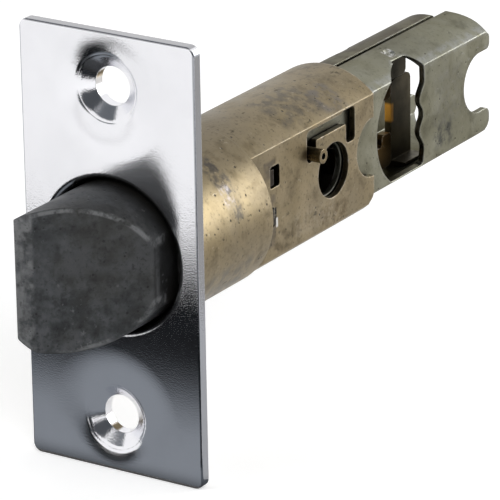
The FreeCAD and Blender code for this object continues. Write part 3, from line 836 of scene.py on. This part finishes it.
@dataclass
class Housing(SubAssembly):
    """Faceplate, tube and spring seat, with the coil that pushes the bolt out, in millimetres."""

    coil_front: float = 2.6
    coil_back: float = 23.75
    coil_r: float = 5.75
    wire: float = 0.9
    turns: float = 6.5
    throw: float = 12.7
    points_per_turn: int = 40
    wire_sides: int = 14

    def build(self, palette: Palette) -> List[bpy.types.Object]:
        """Make the coil in place of its plainer solid.

        Args:
            palette: the materials.

        Returns:
            The coil, as the only new piece.
        """
        tree = self._coil_tree(palette.material(self.finishes["bolt_spring"]))
        seed = bpy.data.objects.new("coil_seed", bpy.data.meshes.new("coil_seed"))
        bpy.context.scene.collection.objects.link(seed)
        modifier = seed.modifiers.new("coil", "NODES")
        modifier.node_group = tree
        sizes = {"Turns": self.turns, "Radius": self.coil_r * MM, "Wire": self.wire * MM / 2,
                 "Length": (self.coil_back - self.coil_front - self.wire) * MM,
                 "Front": (self.coil_front + self.wire / 2) * MM}
        for item in tree.interface.items_tree:
            if item.item_type == "SOCKET" and item.in_out == "INPUT" and item.name in sizes:
                modifier[item.identifier] = sizes[item.name]
        bpy.context.view_layer.update()
        done = seed.evaluated_get(bpy.context.evaluated_depsgraph_get())
        coil = bpy.data.objects.new("bolt_coil", bpy.data.meshes.new_from_object(done))
        bpy.data.objects.remove(seed)
        bpy.context.scene.collection.objects.link(coil)
        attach(coil, self.body.value)
        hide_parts("bolt_spring")
        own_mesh(coil)
        return [coil]

    def _coil_tree(self, material: bpy.types.Material) -> bpy.types.NodeTree:
        """Geometry nodes of a coil round the Y axis.

        Args:
            material: the wire's material.

        Returns:
            The node tree, with named inputs for the sizes.
        """
        tree = bpy.data.node_groups.new("coil_spring", "GeometryNodeTree")
        tree.interface.new_socket("Geometry", in_out="INPUT", socket_type="NodeSocketGeometry")
        for label in ("Turns", "Radius", "Wire", "Length", "Front"):
            tree.interface.new_socket(label, in_out="INPUT", socket_type="NodeSocketFloat")
        tree.interface.new_socket("Geometry", in_out="OUTPUT", socket_type="NodeSocketGeometry")
        graph = Graph(tree)
        given = graph.add("NodeGroupInput").outputs
        line = graph.add("GeometryNodeCurveSpiral", {
            "Resolution": self.points_per_turn, "Rotations": given["Turns"],
            "Start Radius": given["Radius"], "End Radius": given["Radius"], "Height": given["Length"]})
        move = graph.add("ShaderNodeCombineXYZ", {"Y": given["Front"]})
        laid = graph.add("GeometryNodeTransform", {
            "Geometry": line.outputs[0], "Translation": move.outputs[0],
            "Rotation": (-math.pi / 2, 0.0, 0.0)})
        ring = graph.add("GeometryNodeCurvePrimitiveCircle", {
            "Resolution": self.wire_sides, "Radius": given["Wire"]})
        tube = graph.add("GeometryNodeCurveToMesh", {
            "Curve": laid.outputs[0], "Profile Curve": ring.outputs[0], "Fill Caps": True})
        soft = graph.add("GeometryNodeSetShadeSmooth", {"Geometry": tube.outputs[0]})
        real = graph.add("GeometryNodeRealizeInstances", {"Geometry": soft.outputs[0]})
        coated = graph.add("GeometryNodeSetMaterial", {"Geometry": real.outputs[0], "Material": material})
        graph.add("NodeGroupOutput", {"Geometry": coated.outputs[0]})
        return tree


def lying(height: float, *places: Place) -> Tuple[Point, ...]:
    """Corners of a level card.

    Args:
        height: its Z in metres.
        places: X and Y of each corner.

    Returns:
        The corners.
    """
    return tuple((x, y, height) for x, y in places)


def standing(foot: Place, other: Place, low: float, high: float) -> Tuple[Point, ...]:
    """Corners of an upright card.

    Args:
        foot: X and Y of one end in metres.
        other: X and Y of the other end.
        low: Z of its lower edge.
        high: Z of its upper edge.

    Returns:
        The corners.
    """
    return (*lying(low, foot, other), *lying(high, other, foot))


@dataclass(frozen=True)
class Card:
    """A card that shows only in reflections: dark before a fade along Y and pale behind it, or all dark."""

    name: str
    corners: Tuple[Point, ...]
    dark: float
    pale: Optional[float] = None
    fade: Span = (0.0, 1.0)
    tint: Colour = (0.84, 0.91, 1.0)


@dataclass(frozen=True)
class Lamp:
    """A soft square lamp; mirrored says whether metals show it as a highlight."""

    name: str
    place: Point
    side: float
    power: float
    mirrored: bool = False


CARD_Z = CAD_BOX[0].z + 0.4 * MM
CARDS = (
    Card("mirror_card", lying(CARD_Z, (-0.040, -0.067), (0.022, -0.088), (0.022, 0.001), (-0.060, 0.001)),
         0.012, 0.27, (-0.036, -0.012)),
    Card("low_wall", standing((-0.060, -0.046), (0.020, -0.046), CARD_Z, CARD_Z + 0.009), 0.012),
    Card("sink_card", lying(
        CARD_Z + MM, (0.0105, -0.015), (0.017, -0.015), (0.017, -0.005), (0.0105, -0.005)), 0.01),
    Card("right_card", lying(
        CARD_Z, (0.023, -0.062), (0.150, -0.075), (0.150, -0.004), (0.017, -0.004)), 0.03),
    Card("right_wall", standing((0.30, -0.26), (0.30, -0.02), -0.02, 0.17), 0.03),
    Card("front_card", standing((0.06, -0.56), (0.56, -0.16), 0.03, 0.80), 0.09),
    Card("overhead_card", lying(0.45, (-0.60, -0.50), (0.10, -0.50), (0.10, 0.16), (-0.60, 0.16)),
         0.16, 0.42, (-0.25, 0.12)),
    Card("side_card", lying(CARD_Z, (0.034, 0.050), (0.160, 0.050), (0.160, 0.260), (0.034, 0.260)),
         0.78, tint=(1.0, 0.97, 0.92)),
)
LAMPS = (
    Lamp("key_right", (0.55, -0.45, 0.45), 0.45, 2.8),
    Lamp("fill_left", (-0.60, -0.50, 0.50), 0.60, 2.4),
    Lamp("edge_right", (0.30, 0.40, 0.12), 0.26, 1.0, mirrored=True),
)


@dataclass
class Studio:
    """Floor, backdrop light, lamps and the cards that the metals mirror."""

    floor_span: float = 8.0
    floor_grey: float = 0.88
    floor_roughness: float = 0.9
    floor_specular: float = 0.1
    floor_glow: float = 0.18
    fill: float = 0.50
    aim: Point = (0.0, 0.03, 0.0)

    def build(self) -> None:
        """Set the view, the world, the floor, the cards and the lamps."""
        bpy.context.scene.view_settings.view_transform = "Standard"
        self._world()
        self._floor()
        for card in CARDS:
            self._card(card)
        for lamp in LAMPS:
            self._lamp(lamp)

    @staticmethod
    def _seen(graph: Graph) -> bpy.types.NodeSocket:
        """1 for camera, mirror and glass rays, and 0 for the others.

        Args:
            graph: the graph to add to.

        Returns:
            The mask.
        """
        path = graph.add("ShaderNodeLightPath").outputs
        return graph.math("MAXIMUM", path["Is Camera Ray"],
                          graph.math("MAXIMUM", path["Is Glossy Ray"], path["Is Transmission Ray"]))

    def _world(self) -> None:
        """White to the camera and in reflections, plain soft fill for the rest."""
        world = bpy.data.worlds.new("white_tent")
        bpy.context.scene.world = world
        world.use_nodes = True
        graph = Graph(world.node_tree)
        back = world.node_tree.nodes["Background"]
        back.inputs["Color"].default_value = (1.0, 1.0, 1.0, 1.0)
        level = graph.math("ADD", self.fill, graph.math("MULTIPLY", self._seen(graph), 1.0 - self.fill))
        graph.feed(back.inputs["Strength"], level)

    @staticmethod
    def _plane(name: str, corners: Sequence[Point], material: bpy.types.Material) -> None:
        """Make a flat stage piece.

        Args:
            name: the object's name.
            corners: its corners in metres, in order.
            material: its material.
        """
        mesh = bpy.data.meshes.new(name)
        mesh.from_pydata([Vector(c) for c in corners], [], [tuple(range(len(corners)))])
        mesh.materials.append(material)
        made = bpy.data.objects.new(name, mesh)
        bpy.context.scene.collection.objects.link(made)

    def _floor(self) -> None:
        """A pale floor under the plate's lower edge."""
        material = bpy.data.materials.new("pale_floor")
        material.use_nodes = True
        graph = Graph(material.node_tree)
        shader = material.node_tree.nodes["Principled BSDF"]
        grey = self.floor_grey
        shader.inputs["Base Color"].default_value = (grey, grey, grey, 1.0)
        shader.inputs["Roughness"].default_value = self.floor_roughness
        shader.inputs["Specular IOR Level"].default_value = self.floor_specular
        shader.inputs["Emission Color"].default_value = (1.0, 1.0, 1.0, 1.0)
        camera = graph.add("ShaderNodeLightPath").outputs["Is Camera Ray"]
        glow = graph.math("MULTIPLY", graph.math("ADD", self._seen(graph), camera), self.floor_glow)
        graph.feed(shader.inputs["Emission Strength"], glow)
        half = self.floor_span / 2
        corners = lying(CAD_BOX[0].z, (-half, -half), (half, -half), (half, half), (-half, half))
        self._plane("floor", corners, material)

    def _card(self, card: Card) -> None:
        """Stand up a card.

        Args:
            card: what it is like.
        """
        material = bpy.data.materials.new(card.name)
        material.use_nodes = True
        tree = material.node_tree
        tree.nodes.remove(tree.nodes["Principled BSDF"])
        graph = Graph(tree)
        level: Any = card.dark
        if card.pale is not None:
            where = graph.add("ShaderNodeTexCoord").outputs["Object"]
            parts = graph.add("ShaderNodeSeparateXYZ", {0: where})
            share = graph.smooth(parts.outputs[Axis.BACK.value], *card.fade)
            level = graph.math("ADD", card.dark, graph.math("MULTIPLY", share, card.pale - card.dark))
        clear = graph.add("ShaderNodeBsdfTransparent")
        glow = graph.add("ShaderNodeEmission", {"Color": card.tint, "Strength": level})
        mirrored = graph.add("ShaderNodeLightPath").outputs["Is Glossy Ray"]
        both = graph.add("ShaderNodeMixShader", {0: mirrored, 1: clear.outputs[0], 2: glow.outputs[0]})
        graph.feed(tree.nodes["Material Output"].inputs["Surface"], both.outputs[0])
        self._plane(card.name, card.corners, material)

    def _lamp(self, lamp: Lamp) -> None:
        """Hang a lamp that points at the part.

        Args:
            lamp: what it is like.
        """
        data = bpy.data.lights.new(lamp.name, "AREA")
        data.size = lamp.side
        data.energy = lamp.power
        hung = bpy.data.objects.new(lamp.name, data)
        hung.location = lamp.place
        hung.visible_glossy = lamp.mirrored
        aim = Vector(self.aim) - Vector(lamp.place)
        hung.rotation_euler = aim.to_track_quat("-Z", "Y").to_euler()
        bpy.context.scene.collection.objects.link(hung)


@dataclass
class PhotoCamera:
    """The photograph's viewpoint, fitted to the plate's corners and the tube's edges."""

    place: Point = (0.29096, -0.42101, 0.19108)
    azimuth: float = 32.83
    elevation: float = 20.487
    roll: float = -0.98
    focal_px: float = 4457.3
    image_px: float = 500.0
    sensor: float = 36.0
    clip: Span = (0.01, 20.0)

    def build(self) -> None:
        """Make the camera and use it."""
        data = bpy.data.cameras.new("photo_camera")
        data.sensor_width = self.sensor
        data.lens = self.focal_px * self.sensor / self.image_px
        data.clip_start, data.clip_end = self.clip
        camera = bpy.data.objects.new("photo_camera", data)
        around, above, lean = (math.radians(v) for v in (self.azimuth, self.elevation, self.roll))
        back = Vector((math.sin(around) * math.cos(above), -math.cos(around) * math.cos(above),
                       math.sin(above)))
        right = Vector((math.cos(around), math.sin(around), 0.0))
        up = back.cross(right)
        right, up = (right * math.cos(lean) + up * math.sin(lean),
                     up * math.cos(lean) - right * math.sin(lean))
        turn = Matrix((right, up, back)).transposed().to_4x4()
        camera.matrix_world = Matrix.Translation(Vector(self.place)) @ turn
        bpy.context.scene.collection.objects.link(camera)
        bpy.context.scene.camera = camera


def main() -> None:
    """Build the sub-assemblies, the studio and the camera."""
    logging.basicConfig(level=logging.INFO)
    palette = Palette()
    units = (
        Housing(Body.HOUSING, {
            "faceplate": CHROME, "housing_tube": YELLOW_ZINC, "spring_seat": YELLOW_SEAT_SHADED,
            "bolt_spring": SPRING_WIRE}),
        SubAssembly(Body.BOLT, {
            "latch_bolt": ZINC_CASTING, "drawbar": DARK_STEEL, "drawbar_pin": DARK_STEEL}),
        SubAssembly(Body.TAIL, {
            "tail_case": GREY_ZINC, "guide_web": DARK_STEEL, "lock_spring": SPRING_BRONZE,
            "lock_spring_rivet": GREY_ZINC}),
        SubAssembly(Body.RETRACTOR, {
            "retractor_plate_right": YELLOW_INNER_SHADED, "retractor_plate_left": YELLOW_INNER_SHADED,
            "retractor_rivet_upper": GREY_ZINC, "retractor_rivet_lower": GREY_ZINC,
            "link_clip": SPRING_WIRE, "link_clip_rivet": GREY_ZINC}),
    )
    for unit in units:
        unit.dress(palette)
        for piece in unit.build(palette):
            LOG.info("%s: new piece on body %s", piece.name, unit.body.value)
    Studio().build()
    PhotoCamera().build()


if __name__ == "__main__":
    main()
